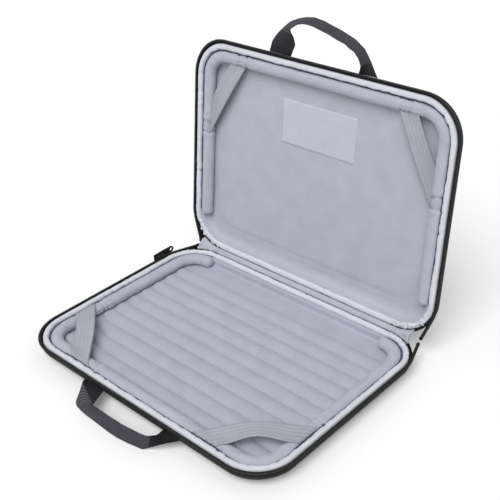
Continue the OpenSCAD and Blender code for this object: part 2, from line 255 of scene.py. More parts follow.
# sizes and pitches in these materials are in mm, and the weights of the terms that n.add mixes sum to about
# 1 for a colour

def knit(name, colour, grain=0.55, rows=1.0, depth=0.00018, spread=0.1):
    """Soft brushed knit: fine grain with faint rows, patches a little lighter and darker."""
    n = Nodes(name)
    at = n.cloth()
    fine = n.noise(at, grain, 3.0, 0.6)
    streak = n.noise(n.stretch(at, 0.12, 1.1), 1.4, 2.0)
    broad = n.noise(at, 26, 3.0)
    row = n.wave(n.axes(at)[1], rows)
    low, mid, high = tones(colour, 1 - spread, 1, 1 + spread)
    mix = n.add((fine, 0.34), (streak, 0.22), (broad, 0.36), (row, 0.08))
    n.bump(n.add((fine, 0.6), (row, 0.25), (streak, 0.3)), depth)
    return n.finish(n.ramp(mix, (0.36, low), (0.5, mid), (0.64, high)),
                    n.math("MULTIPLY_ADD", fine, 0.12, 0.82),
                    Sheen_Weight=0.25, Sheen_Roughness=0.5, Specular_IOR_Level=0.25)


def ribbed(name, colour, pitch, across=0.9, slant=0.0, depth=0.0003, rough=0.62, spread=0.3,
           gloss=0.1, sheen=0.02, painted_shade_ends=False):
    """Woven ribs at right angles to the cloth's length, with the cross threads between them. Optionally
    the cloth's third coordinate, from 0 to 1, paints shade on it, making it darker as the coordinate grows."""
    n = Nodes(name)
    at = n.cloth()
    x, y, painted_shade = n.axes(at)
    lean = n.math("MULTIPLY_ADD", y, slant, x)
    rib = n.wave(lean, pitch)
    thread = n.wave(y, across)
    grain = n.noise(at, 0.5, 2.0)
    wear = n.noise(at, 14, 3.0)
    low, mid, high = tones(colour, 1 - spread, 1, 1 + spread * 1.3)
    low_at = 0.25
    mix = n.add((rib, 0.42), (thread, 0.12), (grain, 0.2), (wear, 0.3))
    # painted shade: the cloth's third coordinate darkens the mix and brings the darkest tone down near
    # black
    if painted_shade_ends:
        mix = n.math("MULTIPLY_ADD", painted_shade, -0.5, mix)
        low = tones(colour, 0.16)[0]
        low_at = 0.0
    n.bump(n.add((rib, 0.75), (thread, 0.3), (grain, 0.15)), depth)
    return n.finish(n.ramp(mix, (low_at, low), (0.52, mid), (0.85, high)),
                    n.math("MULTIPLY_ADD", wear, 0.12, rough),
                    Sheen_Weight=sheen, Sheen_Roughness=0.45, Specular_IOR_Level=gloss)


def shell_cloth():
    """Close woven cloth bonded to the moulded halves, a little lighter where edges rub."""
    n = Nodes("shell_cloth")
    at = n.object()
    x, y, z = n.axes(at)
    warp = n.wave(n.math("ADD", x, z), 1.1)
    weft = n.wave(n.math("ADD", y, z), 1.1, 1.5)
    weave = n.math("MULTIPLY", warp, weft)
    grain = n.noise(at, 0.7, 3.0, 0.65)
    broad = n.noise(at, 40, 4.0)
    rub = n.noise(n.stretch(at, 0.5, 0.5, 2.0), 9, 4.0, 0.7)
    mix = n.add((weave, 0.3), (grain, 0.32), (broad, 0.24), (rub, 0.16))
    low, mid, high = tones((0.0205, 0.0200, 0.0215), 0.55, 1, 1.8)
    n.bump(n.add((weave, 0.6), (grain, 0.5)), 0.0004)
    return n.finish(n.ramp(mix, (0.25, low), (0.46, mid), (0.75, high)),
                    n.math("MULTIPLY_ADD", broad, 0.15, 0.62),
                    Sheen_Weight=0.05, Sheen_Roughness=0.4, Specular_IOR_Level=0.22)


def plastic(name, colour, rough, metallic=0.0, gloss=0.2):
    """Satin moulded or painted finish with fine grain and small scuffs."""
    n = Nodes(name)
    at = n.object()
    grain = n.noise(at, 0.35, 2.0)
    scuff = n.noise(n.stretch(at, 1, 1, 0.3), 1.6, 5.0, 0.75)
    low, high = tones(colour, 0.8, 1.8)
    n.bump(n.add((grain, 0.4), (scuff, 0.3)), 0.00006)
    return n.finish(n.ramp(scuff, (0.35, low), (0.75, high)),
                    n.math("MULTIPLY_ADD", scuff, 0.25, rough),
                    Metallic=metallic, Specular_IOR_Level=gloss)


LINING = knit("lining_knit", (0.455, 0.46, 0.535))
FLOOR = knit("floor_knit", (0.42, 0.425, 0.50), grain=0.6)
ROLL = knit("roll_knit", (0.44, 0.45, 0.525))
BAND = knit("band_knit", (0.65, 0.67, 0.73), grain=0.5, rows=0.8, spread=0.08)
# dark strip for the rim's groove: the seam's dark thread, with painted shade of the groove
SEAM_AND_SHADE = ribbed("seam_and_painted_shade_knit", (0.085, 0.095, 0.14), 1.2, 0.9, rough=0.8)
STRAP = ribbed("strap_elastic", (0.43, 0.43, 0.50), 0.9, 4.0, rough=0.75, spread=0.16, gloss=0.25,
               sheen=0.12)
# the handles' webbing, with painted shade on their legs set by the third cloth coordinate
WEBBING = ribbed("handle_webbing", (0.064, 0.061, 0.075), 2.5, 1.1, slant=0.7, depth=0.0013, spread=1.05,
                 gloss=0.08, sheen=0.03, painted_shade_ends=True)
TAPE = ribbed("zip_tape_weave", (0.0125, 0.0115, 0.012), 1.3, 0.8)
SPINE = ribbed("spine_cloth", (0.014, 0.0135, 0.014), 1.0, 1.0, rough=0.7)
PATCH = ribbed("patch_cloth", (0.53, 0.56, 0.65), 1.9, 1.2, rough=0.8, spread=0.1, gloss=0.25, sheen=0.1)
THREAD = ribbed("thread", (0.52, 0.53, 0.61), 0.5, 0.5, depth=0.0001, rough=0.8, spread=0.12)
SHELL = shell_cloth()
COIL = plastic("coil_nylon", (0.016, 0.0155, 0.017), 0.36, gloss=0.28)
STOP = plastic("stop_plastic", (0.009, 0.009, 0.009), 0.35)
METAL = plastic("slider_paint", (0.014, 0.014, 0.015), 0.36, metallic=0.25)


# ---- Making meshes ----

def piece(name, points, faces, half, body, material, cloth=None, replaces=(), sharp=None):
    """A mesh piece from a half's own points in mm, riding on a body. Without a half the points are in the
    frame of the whole case. cloth is a row of cloth coordinates for each point."""
    mesh = bpy.data.meshes.new(name)
    at = place(points, half) if half else np.asarray(points, float) / 1000
    mesh.from_pydata(at.tolist(), [], [list(map(int, f)) for f in faces])
    bm = bmesh.new()
    bm.from_mesh(mesh)
    bmesh.ops.recalc_face_normals(bm, faces=bm.faces)
    bm.to_mesh(mesh)
    bm.free()
    mesh.polygons.foreach_set("use_smooth", [True] * len(mesh.polygons))
    if sharp:
        mesh.set_sharp_from_angle(angle=math.radians(sharp))
    if cloth is not None:
        mark = mesh.attributes.new("cloth", "FLOAT_VECTOR", "POINT")
        mark.data.foreach_set("vector", np.asarray(cloth, np.float32).ravel())
    mesh.materials.append(material)
    obj = bpy.data.objects.new(name, mesh)
    scene.collection.objects.link(obj)
    if replaces:
        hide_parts(*replaces)
    if body:
        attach(obj, body)
    return obj


def grid_faces(n, m, wrap_n=False, wrap_m=False, start=0):
    """Quads of an n by m grid of points, in rows of m."""
    i, j = np.meshgrid(np.arange(n if wrap_n else n - 1), np.arange(m if wrap_m else m - 1),
                       indexing="ij")
    i2, j2 = (i + 1) % n, (j + 1) % m
    return (np.stack([i * m + j, i2 * m + j, i2 * m + j2, i * m + j2], -1).reshape(-1, 4)
            + start).tolist()


def tube_faces(n, m, start=0):
    """Faces of a tube of n rings of m points, with both ends closed."""
    last = start + (n - 1) * m
    ends = [list(range(start, start + m)), list(range(last, last + m))]
    return grid_faces(n, m, wrap_m=True, start=start) + ends


def repeated(section, n):
    """n rows of the same section."""
    return np.tile(section, (n, 1))


def lengths(points):
    """Distance of each point of a row from the first one, along the row."""
    return np.concatenate([[0], np.cumsum(np.linalg.norm(np.diff(points, axis=0), axis=1))])


def unit(vectors):
    """Vectors of a grid, made one long."""
    return vectors / np.maximum(np.linalg.norm(vectors, axis=2, keepdims=True), 1e-9)


def section_lengths(d, z):
    """Distance of each point of a section from its first one."""
    return lengths(np.stack([d, z], 1))


def cloth_grid(s, v):
    """Cloth coordinates of a grid with the places s along it and v across it."""
    return np.stack([np.repeat(s, len(v)), np.tile(v, len(s)), np.zeros(len(s) * len(v))], 1)


# ---- The outline. Its sides count anticlockwise, and each corner has the number of the side before it.
# A path is rows of a place's x and y and its outward normal's x and y. ----
RIGHT, BACK, LEFT, FRONT = range(4)


def side(k, t0, t1, step=STEP):
    """Places along side k, from t0 to t1 from its middle."""
    t = np.linspace(t0, t1, max(2, int(abs(t1 - t0) / step)) + 1)
    c, s = round(math.cos(k * math.pi / 2)), round(math.sin(k * math.pi / 2))
    reach = SIDE_X if k in (RIGHT, LEFT) else WALL_Y
    return np.stack([c * reach - s * t, s * reach + c * t, np.full(t.size, c), np.full(t.size, s)], 1)


def whole_side(k, step=STEP):
    """Places along side k from one corner's arc to the next."""
    half = ARC_Y if k in (RIGHT, LEFT) else ARC_X
    return side(k, -half, half, step)


def corner(k, a0=0.0, a1=90.0, step=STEP):
    """Places round corner k, from a0 to a1 degrees of it."""
    count = max(2, int(math.radians(abs(a1 - a0)) * CORNER_R / step))
    t = np.radians(np.linspace(a0, a1, count + 1) + 90 * k)
    middle_x = ARC_X if k in (RIGHT, FRONT) else -ARC_X
    middle_y = ARC_Y if k in (RIGHT, BACK) else -ARC_Y
    return np.stack([middle_x + CORNER_R * np.cos(t), middle_y + CORNER_R * np.sin(t),
                     np.cos(t), np.sin(t)], 1)


def joined(*runs):
    """Runs end to end, without doubled places."""
    return np.concatenate([runs[0]] + [run[1:] for run in runs[1:]])


def ring_path(step=STEP):
    """The whole outline, from the left end of the front round to it again."""
    runs = []
    for k in (FRONT, RIGHT, BACK, LEFT):
        runs += [whole_side(k, step), corner(k, step=step)]
    return joined(*runs)[:-1]


def even(path, step):
    """The path's places at even steps, and their distances from its start."""
    s = lengths(path[:, :2])
    u = np.arange(0, s[-1], step)
    out = np.stack([np.interp(u, s, path[:, k]) for k in range(4)], 1)
    out[:, 2:] /= np.linalg.norm(out[:, 2:], axis=1, keepdims=True)
    return out, u


def swept(path, d, z):
    """Points of a section swept along the path. d and z have a row for each place."""
    x = path[:, 0:1] + path[:, 2:3] * d
    y = path[:, 1:2] + path[:, 3:4] * d
    return np.stack([x, y, z], -1)


# ---- Rim bands: puckered folded edges ----

CRUMPLE = {"base": 0.8, "lid": 2.1}  # how much the bands crumple at the hinge's corners


def band(half):
    """Folded edge that waves in and out, with small folds across it."""
    path = ring_path()
    s = lengths(path[:, :2])
    n = len(s)
    seed = 0 if half == "base" else 50
    # a section between a half circle and a box, closed underneath
    turn = np.linspace(0, math.pi, 17)
    middle, reach = (RIM_OUT + RIM_IN) / 2, (RIM_OUT - RIM_IN) / 2
    d0 = middle + reach * np.sign(np.cos(turn)) * np.abs(np.cos(turn)) ** 0.62
    z0 = RIM_FOOT + (RIM_TOP - RIM_FOOT) * np.abs(np.sin(turn)) ** 0.6
    d0 = np.append(d0, middle)
    z0 = np.append(z0, RIM_FOOT - 0.1)
    # the outer side and the foot keep their place
    inner = smooth((RIM_OUT - d0) / 6)[None, :]
    high = smooth((z0 - RIM_FOOT) / 4)[None, :]
    # long and short waves and folds across the band, by their lengths in mm
    long = wob(s / 31, seed)[:, None]
    short = wob(s / 8, seed + 7)[:, None]
    fold = np.maximum(0, wob(s / 5.5, seed + 13) - 0.25)[:, None]
    d = repeated(d0, n) + inner * (0.5 * long + 0.45 * short + 0.9 * fold)
    z = repeated(z0, n) - high * (0.3 * np.abs(long) + 0.25 * np.abs(short) + 0.7 * fold)
    # finer creases where the band turns a hinge's corner
    hinge_corner = smooth((path[:, 1] - ARC_Y) / 20) * (np.abs(path[:, 0]) > ARC_X - 6)
    crumple = (hinge_corner * CRUMPLE[half])[:, None] * high
    d += crumple * 0.9 * wob(s[:, None] / 4.0, d0[None, :] / 3, seed + 9)
    z -= crumple * (0.55 + 0.9 * wob(s[:, None] / 3.2, d0[None, :] / 2.6, seed + 3))
    v = section_lengths(d0, z0)
    return piece(half + "_rim_band", swept(path, d, z).reshape(-1, 3),
                 grid_faces(n, len(d0), wrap_n=True, wrap_m=True),
                 half, half, BAND, cloth_grid(s, v), [half + "_rim_binding"])


for half in HALVES:
    band(half)


# ---- Foam rolls in gathered knit ----

# places along the front and the two sides: pairs of gathers at the straps' ends, and the stretches that
# the straps press on, with half their length
GATHERS = {"base": [("front", -73), ("front", 73), ("right", -32), ("left", -32)],
           "lid": [("front", -105), ("front", 111), ("right", -24), ("left", -24)]}
PRESSED = {"base": [("front", -96, 20), ("front", 96, 20), ("right", -54, 19), ("left", -54, 19)],
           "lid": []}
# how far from a gather's place its pinch and the swelling beside it are
PINCH_AT = {"base": (2.3, 6.5), "lid": (6.3, 10.5)}
PINCH, SWELLING, CREASE = 0.24, 0.06, 1.25
PRESS = 0.125
MOST_BUMP = 0.35
ROLL_WIDE, ROLL_TALL, ROLL_MID = 7.0, 6.4, -17.2
ROLL_POINTS = 32  # round a section


def roll_path(half):
    """Round the front and the sides. The base's roll also turns the hinge's corners."""
    straight, bend, tip = 1.4, 1.2, 0.7  # steps
    around = [whole_side(LEFT, straight), corner(LEFT, step=bend), whole_side(FRONT, straight),
              corner(FRONT, step=bend), whole_side(RIGHT, straight)]
    if half == "lid":
        return joined(side(LEFT, -ARC_Y - ROLL_R, -ARC_Y, tip), *around,
                      side(RIGHT, ARC_Y, ARC_Y + ROLL_R, tip))
    return joined(side(BACK, ARC_X - ROLL_R, ARC_X, tip), corner(BACK, step=bend), *around,
                  corner(RIGHT, step=bend), side(BACK, -ARC_X, -ARC_X + ROLL_R, tip))


def from_spot(path, s, where, t):
    """Distance of each place on the path from the one beside t along the front or a side."""
    x, y = {"front": (t, -WALL_Y), "right": (SIDE_X, t), "left": (-SIDE_X, t)}[where]
    return np.abs(s - s[np.argmin(np.hypot(path[:, 0] - x, path[:, 1] - y))])


def roll(half):
    """Foam roll, pinched and creased beside the gathers and folded on the inside of its bends."""
    path = roll_path(half)
    s = lengths(path[:, :2])
    n, m = len(s), ROLL_POINTS
    phi = np.linspace(0, 2 * math.pi, m, endpoint=False) - math.pi / 2
    S, PHI = np.meshgrid(s, phi, indexing="ij")
    seed = 20 if half == "base" else 70
    size = np.full(n, 1.0)
    crease = np.zeros((n, m))
    for where, t, reach in PRESSED[half]:
        size -= PRESS * smooth((reach + 3 - from_spot(path, s, where, t)) / 6)
    near, far = PINCH_AT[half]
    for where, t in GATHERS[half]:
        off = from_spot(path, s, where, t)
        size -= PINCH * bell(off, near, 0.9)
        size += SWELLING * bell(off, far, 3)
        fading = (np.exp(-off / 11) * smooth(off / 1.2))[:, None]
        crease += fading * CREASE * np.cos(9 * PHI + 2.4 * wob(S / 7, seed + t))
    # where the path turns, spread over nine places
    turning = np.hypot(*np.diff(path[:, 2:], axis=0).T) > 1e-6
    turning = np.concatenate([[0.0], turning.astype(float)])
    turning = np.convolve(turning, np.ones(9) / 9, "same")[:, None]
    inside = 0.5 - 0.5 * np.cos(PHI)
    folds = turning * inside * 0.42 * np.cos(2 * math.pi * S / 5.2 + 2.5 * wob(S / 11, seed + 5))
    bumps = crease + folds + 0.22 * wob(S / 22, PHI, seed) + 0.16 * wob(S / 6, 2 * PHI, seed + 1)
    bumps = np.minimum(bumps, MOST_BUMP)
    tip = np.minimum(s, s[-1] - s)
    taper = np.sqrt(np.clip(1 - (1 - np.clip(tip / ROLL_R, 0, 1)) ** 2, 0.0004, 1))[:, None]
    d = ROLL_MID + (ROLL_WIDE * size[:, None] + bumps) * taper * np.cos(PHI)
    z = ROLL_Z + (ROLL_TALL * size[:, None] + bumps) * taper * np.sin(PHI)
    obj = piece(half + "_foam_roll", swept(path, d, z).reshape(-1, 3), tube_faces(n, m), half, half, ROLL,
                cloth_grid(s, phi * ROLL_R), [half + "_bumper"])
    return obj


# the section of the dark strip in the groove: the seam, with painted shade
SEAM_D = np.array([-7.6, -8.6, -9.8, -11.2, -12.6, -12.6, -7.6])
SEAM_Z = np.array([-3.2, -4.0, -4.4, -4.4, -4.2, -5.5, -5.5])
SEAM_TOP_POINTS = 5


def rim_seam_and_shade(half):
    """A dark strip in the groove between the rim band and the roll: partly the seam's dark thread, partly
    painted shade where the groove lies in shadow.
    """
    path = roll_path(half)[8:-8]
    s = lengths(path[:, :2])
    seed = 45 if half == "base" else 85
    n, m = len(s), len(SEAM_D)
    d = repeated(SEAM_D, n) + 0.12 * wob(s / 7, seed)[:, None]
    z = repeated(SEAM_Z, n)
    z[:, :SEAM_TOP_POINTS] += 0.12 * wob(s / 4, seed + 3)[:, None]
    v = section_lengths(SEAM_D, SEAM_Z)
    return piece(half + "_rim_seam_strip", swept(path, d, z).reshape(-1, 3), tube_faces(n, m), half, half,
                 SEAM_AND_SHADE, cloth_grid(s, v), sharp=60)


for half in HALVES:
    roll(half)
    rim_seam_and_shade(half)


# ---- Padded trays ----

RIB_COUNT, RIB_PITCH, RIB_MID_Y = 10, 19, -4.5
RIB_HIGH, RIB_WIDE = 3.6, 8.2  # height, and half the width
RIB_HALF = 144.65  # half the length of a rib's straight part
# the wall's section: a lip under the band, then down behind the roll
LIP_D = np.array([-4.2, -8.0, -11.7, -11.75])
LIP_Z = np.array([-5.5, -5.4, -5.6, -7.0])
# the underside's section, which follows the moulding
UNDER_D = np.array([-4.4, -6.5, -11.0, -20.0, -33.5])
UNDER_Z = np.array([-9.0, -12.0, -15.2, -17.3, -17.9])


def rib_height(x, y):
    """Height of the base's ribs over its floor."""
    h = np.zeros_like(x)
    for i in range(RIB_COUNT):
        middle = RIB_MID_Y + (i - (RIB_COUNT - 1) / 2) * RIB_PITCH
        r = np.hypot(np.maximum(0, np.abs(x) - RIB_HALF), y - middle) / RIB_WIDE
        h = np.maximum(h, RIB_HIGH * np.clip(1 - r * r, 0, 1) ** 0.55)
    return h


def floor_height(half, x, y, u):
    """Height of a tray's floor. u is 1 at its foot and 0 in its middle."""
    if half == "base":
        return LINING_Z + rib_height(x, y) + 0.12 * wob(x / 14, y / 14, 3)
    inside = 1 - u[None, :]
    groove = bell(inside, 0.07, 0.018)
    return (LINING_Z + 1.1 * smooth(inside * 7) - 0.5 * groove
            + 0.28 * wob(x / 38, y / 38, 5) + 0.12 * wob(x / 12, y / 12, 8))


def tray(half):
    """Padded tray: wall, rounded foot and floor, closed underneath."""
    path = ring_path(1.7 if half == "base" else 2.4)
    n = len(path)
    # the foot is softer near the lid's hinge, where no roll is in front of it
    near_hinge = smooth((path[:, 1] - ARC_Y + 10) / 40) if half == "lid" else np.zeros(n)
    foot = (2.5 + 7.5 * near_hinge)[:, None]
    turn = np.linspace(0, math.pi / 2, 8)[None, :]
    d = np.concatenate([repeated(LIP_D, n), LIP_D[-1] - foot * (1 - np.cos(turn))], 1)
    z = np.concatenate([repeated(LIP_Z, n), LINING_Z + np.minimum(foot, 6.4) * (1 - np.sin(turn))], 1)
    edge = swept(path, d, z)
    rings = 78 if half == "base" else 50
    u = (1 - np.linspace(0, 1, rings + 1)[1:-1]) ** 0.93
    x, y = edge[:, -1, 0:1] * u, edge[:, -1, 1:2] * u
    floor = np.stack([x, y, floor_height(half, x, y, u)], -1)
    top = np.concatenate([edge, floor], 1)
    low = swept(path, repeated(UNDER_D, n), repeated(UNDER_Z, n))
    m, k = top.shape[1], low.shape[1]
    top_middle = n * m
    low_start = top_middle + 1
    low_middle = low_start + n * k
    points = np.concatenate([top.reshape(-1, 3), [[0, 0, floor[:, -1, 2].mean()]],
                             low.reshape(-1, 3), [[0, 0, UNDER_Z[-1]]]])
    faces = grid_faces(n, m, wrap_n=True) + grid_faces(n, k, wrap_n=True, start=low_start)
    for i in range(n):
        j = (i + 1) % n
        faces.append([i * m + m - 1, j * m + m - 1, top_middle])
        faces.append([low_start + i * k + k - 1, low_start + j * k + k - 1, low_middle])
        faces.append([i * m, j * m, low_start + j * k, low_start + i * k])
    obj = piece(half + "_padded_tray", points, faces, half, half, FLOOR if half == "base" else LINING,
                points * (1, 1, 0), [half + "_liner"])
    return obj


for half in HALVES:
    tray(half)


# ---- Straps ----

STRAP_W, STRAP_T = 20.0, 0.9
WRAP = 57  # degrees from straight up to a strap's end
WRAP_R = ROLL_R + 0.1 + STRAP_T / 2
WRAP_ROWS, SPAN_ROWS = 9, 24
CHANNELS = 5
GATHER = {"base": 12, "lid": 5}  # how far the gathers at a strap's ends reach


def strap(half, hand, front, side_at, bow, inwards, outer=WRAP, inner=0, radius=WRAP_R):
    """Flat elastic across a front corner. Its middle crosses the front roll at the distance front from the
    side wall, and the side roll at side_at from the front wall. bow and inwards are how far its slack
    rises and moves in. It goes round each roll from the angle outer to the angle inner, from straight
    up. hand is 1 for the right corner and -1 for the left one."""
    way = np.array([front + ROLL_D, side_at + ROLL_D])
    way = way / np.linalg.norm(way)
    across = np.linspace(-1, 1, 25)
    same = np.ones(across.size)

    def on_front(t):
        x = SIDE_X - front - radius * t * way[0] / way[1] + across * STRAP_W / 2 / way[1]
        y, z = -WALL_Y - ROLL_D - radius * math.sin(t), ROLL_Z + radius * math.cos(t)
        return np.stack([x, y * same, z * same], 1)

    def on_side(t):
        y = -WALL_Y + side_at + radius * t * way[1] / way[0] - across * STRAP_W / 2 / way[0]
        x, z = SIDE_X + ROLL_D + radius * math.sin(t), ROLL_Z + radius * math.cos(t)
        return np.stack([x * same, y, z * same], 1)

    turns = np.radians(np.linspace(outer, inner, WRAP_ROWS))
    first = [on_front(t) for t in turns]
    last = [on_side(t) for t in turns[::-1]]
    span = []
    for t in np.linspace(0, 1, SPAN_ROWS)[1:-1]:
        row = first[-1] * (1 - t) + last[0] * t
        hump = math.sin(math.pi * t) ** 1.3
        row[:, 2] += bow * hump + 0.35 * hump * (1 - across ** 2)
        row[:, 0] -= inwards * hump * way[1]
        row[:, 1] += inwards * hump * way[0]
        span.append(row)
    mid = np.array(first + span + last)
    n, m = mid.shape[:2]
    # thickness and relief along the normals: gathers at the ends, woven channels and small waves
    nor = unit(np.cross(np.gradient(mid, axis=0), np.gradient(mid, axis=1)))
    if nor[n // 2, m // 2, 2] < 0:
        nor = -nor
    s = lengths(mid[:, m // 2])
    S, A = np.meshgrid(s, across, indexing="ij")
    near_end = np.exp(-((np.minimum(S, s[-1] - S) / GATHER[half]) ** 2))
    gather = 0.5 * (1 + np.cos(A * 13 + 1.5 * wob(S / 6, A, hand)))
    ripple = (near_end * (gather + 0.2 * wob(S / 2.2, A * 3)) + 0.09 * np.cos(A * math.pi * CHANNELS)
              + 0.08 * wob(S / 5, A * 3))
    thick = STRAP_T / 2 * np.sqrt(np.clip(1 - np.abs(A) ** 6, 0.05, 1))
    up = mid + nor * (ripple + thick)[..., None]
    down = mid + nor * (ripple - thick)[..., None]
    ring = np.concatenate([up, down[:, ::-1]], 1) * (hand, 1, 1)
    v = np.concatenate([across, across[::-1]]) * STRAP_W / 2
    node = half + "_strap_" + ("left" if hand < 0 else "right")
    obj = piece(node + "_elastic", ring.reshape(-1, 3), tube_faces(n, 2 * m), half, half, STRAP,
                cloth_grid(s, v), [node])
    return obj


# the lid's straps come out from under the rolls, and the left one sits further in than the right one
LID_STRAP_FRONT = {-1: 67, 1: 63}
LID_STRAP = {"side_at": 101, "bow": 1.6, "inwards": 0.0, "outer": -15, "inner": -52, "radius": 5.4}

for hand in (-1, 1):
    elastic = strap("base", hand, front=76, side_at=71, bow=5.5, inwards=3.5)
    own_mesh(elastic)
    strap("lid", hand, front=LID_STRAP_FRONT[hand], **LID_STRAP)


# ---- Webbing handles ----

WEB_T, WEB_W = 2.0, 20.4
WEB_STEP = 0.9
# folded webbing: pairs of lower and upper edge, each as x, distance out from the front wall, and height
FOLDS = {
    "base": [((-70, 0.4, -8.7), (-40, 0.4, -8.7)), ((-69, 3.6, -9.2), (-24.5, 25.0, -1.2)),
             ((-62.5, 13.8, -13.5), (-23.4, 25.8, -1.0)), ((-61.2, 20.6, -20.3), (-22.6, 25.9, -1.0)),
             ((-56.4, 23.7, -21.2), (-21.8, 26, -1)), ((-45.9, 25.5, -21.3), (-20, 26, -1)),
             ((-24.5, 26.8, -21.4), (-14, 26, -1)), ((10.7, 27.5, -21.4), (9.1, 26, -1)),
             ((25.2, 25.4, -21.4), (28, 25, -1)), ((40.5, 22.8, -21.2), (46, 22.4, -1)),
             ((43.6, 21.6, -20.6), (50.8, 20.8, -1.2)), ((56.5, 14, -13.5), (54.5, 13.5, -3)),
             ((71.9, 0.4, -8.7), (48.9, 0.4, -8.7))],
    "lid": [((-70.1, 0.55, -8.7), (-40.1, 0.55, -8.7)), ((-68.8, 11.2, -10.8), (-33, 14, -6)),
            ((-64, 20.5, -14), (-33.4, 22, -3)), ((-60.5, 26.2, -18), (-36.4, 27.6, -1.5)),
            ((-57.7, 29.7, -20.6), (-37.5, 29.8, -1)), ((-52.2, 33.8, -21.2), (-33.9, 33.3, -1)),
            ((-43.3, 37.8, -21.3), (-28.5, 36.6, -1)), ((-32.2, 41, -21.3), (-22, 38.5, -1)),
            ((-21.1, 42.4, -21.3), (-14.3, 39, -1)), ((-9.9, 41.1, -21.3), (-4.4, 37.8, -1)),
            ((10, 36.4, -21.3), (11, 34.7, -1)), ((31.9, 29.9, -21.3), (34, 28.2, -1)),
            ((44.1, 22.6, -21), (46.5, 22.8, -1)), ((50, 17.3, -20.3), (52.4, 17.5, -1)),
            ((58.4, 11.4, -16), (55, 9.8, -2.5)), ((72.1, 0.55, -8.7), (49.1, 0.55, -8.7))]}
# the stretches of a handle that get painted shade where its legs fall in shadow, counted in its folds, and
# how dark the painted shade is
PAINTED_SHADE_LEGS = {"base": ((0, 1.02), (10.3, 12)), "lid": ((0, 2.6), (14.0, 15))}
LEG_PAINTED_SHADE = {"base": 1.0, "lid": 0.6}


def softened(rows, times):
    """Rows with their corners rounded a little, ends kept."""
    for _ in range(times):
        rows = np.concatenate([rows[:1], (rows[:-2] + 2 * rows[1:-1] + rows[2:]) / 4, rows[-1:]])
    return rows


def handle(half):
    """Webbing folded into flat panels with creases between them."""
    # straight steps between the folds, their corners softened
    knots = np.array(FOLDS[half], float)
    rows, at = [knots[0]], [0.0]
    for i, (p, q) in enumerate(zip(knots[:-1], knots[1:])):
        far = np.linalg.norm(q - p, axis=1).mean()
        count = max(2, round(far / WEB_STEP))
        rows += [p + (q - p) * k / count for k in range(1, count + 1)]
        at += [i + k / count for k in range(1, count + 1)]
    edges = softened(np.array(rows), 2)
    leg_painted_shade = np.sum([[p <= u <= q for u in at] for p, q in PAINTED_SHADE_LEGS[half]], axis=0)
    across = np.linspace(-1, 1, 13)
    share = ((across + 1) / 2)[None, :, None]
    mid = edges[:, None, 0] * (1 - share) + edges[:, None, 1] * share
    mid[..., 1] = -(WALL_Y + mid[..., 1])
    centre = mid.mean(axis=1)
    # part of the middle line's own direction keeps the normals steady where an edge hardly moves
    du = np.gradient(mid, axis=0) + 0.25 * np.gradient(centre, axis=0)[:, None]
    nor = unit(softened(unit(np.cross(du, np.gradient(mid, axis=1))), 2))
    s = lengths(centre)
    n, m = mid.shape[:2]
    seed = 61 if half == "base" else 66
    # panels that sag a little, with thicker woven edges
    sag = 0.25 * wob(s[:, None] / 9, across[None, :] * 1.4, seed)
    sag *= smooth(np.minimum(s, s[-1] - s) / 6)[:, None]
    selvedge = 1 + 0.16 * bell(np.abs(across), 1, 0.12)
    thick = (WEB_T / 2 * selvedge * np.sqrt(np.clip(1 - np.abs(across) ** 9, 0.12, 1)))[None, :, None]
    face = mid + nor * sag[..., None]
    ring = np.concatenate([face + nor * thick, (face - nor * thick)[:, ::-1]], 1)
    cloth = cloth_grid(s, np.concatenate([across, across[::-1]]) * WEB_W / 2)
    # painted shade on the legs, passed to the material in the cloth's third coordinate
    cloth[:, 2] = np.repeat(leg_painted_shade * LEG_PAINTED_SHADE[half], 2 * m)
    return piece(half + "_webbing_handle", ring.reshape(-1, 3), tube_faces(n, 2 * m), half,
                 half + "_handle", WEBBING, cloth, [half + "_handle"], sharp=35)


for half in HALVES:
    handle(half)


# ---- Zip ----

TAIL_ANGLE, TAIL_L = 20, 27  # degrees round the hinge's corners to where the zip leaves them, and its tails
# the tape's section
TAPE_D = np.array([0, 0, 0, -TAPE_T, -TAPE_T, -TAPE_T])
TAPE_Z = np.array([-7.4, -4.6, -1.4, -1.4, -4.6, -7.4])
COIL_R, COIL_PITCH, COIL_TURN_STEPS = 1.12, 2.1, 14
WIRE_R, WIRE_FLATTER, WIRE_POINTS = 0.42, 1.25, 5
CORD_R, CORD_POINTS = 0.85, 8


def zip_tail(k, angle, onwards, step):
    """Straight tail that leaves corner k at an angle, onwards (1) or backwards (-1) along the outline."""
    x, y, nx, ny = corner(k, angle, angle + 0.01)[0]
    u = np.linspace(0, TAIL_L, max(2, int(TAIL_L / step)) + 1)[:, None]
    way = np.array([-ny, nx]) * onwards
    return np.concatenate([[[x, y]] + u * way, np.repeat([[nx, ny]], len(u), 0)], 1)


def zip_path(step):
    """Round the zip, from the left tail's end round the front to the right one's."""
    leaves = 90 - TAIL_ANGLE
    return joined(zip_tail(BACK, leaves, -1, step)[::-1], corner(BACK, leaves, 90, step),
                  whole_side(LEFT, step), corner(LEFT, step=step), whole_side(FRONT, step),
                  corner(FRONT, step=step), whole_side(RIGHT, step), corner(RIGHT, 0, TAIL_ANGLE, step),
                  zip_tail(RIGHT, TAIL_ANGLE, 1, step))


def zip_tape(half):
    """Flat woven tape that stands on the wall and carries the coil."""
    seed = 5 if half == "base" else 33
    path, s = even(zip_path(1.0), 1.5)
    n, m = len(s), len(TAPE_D)
    d = repeated(TAPE_D, n) + 0.07 * wob(s / 9, seed)[:, None]
    v = section_lengths(TAPE_D, TAPE_Z)
    piece(half + "_zip_tape_weave", swept(path, d, repeated(TAPE_Z, n)).reshape(-1, 3), tube_faces(n, m),
          half, half, TAPE, cloth_grid(s, v), [half + "_zip_tape"], sharp=40)


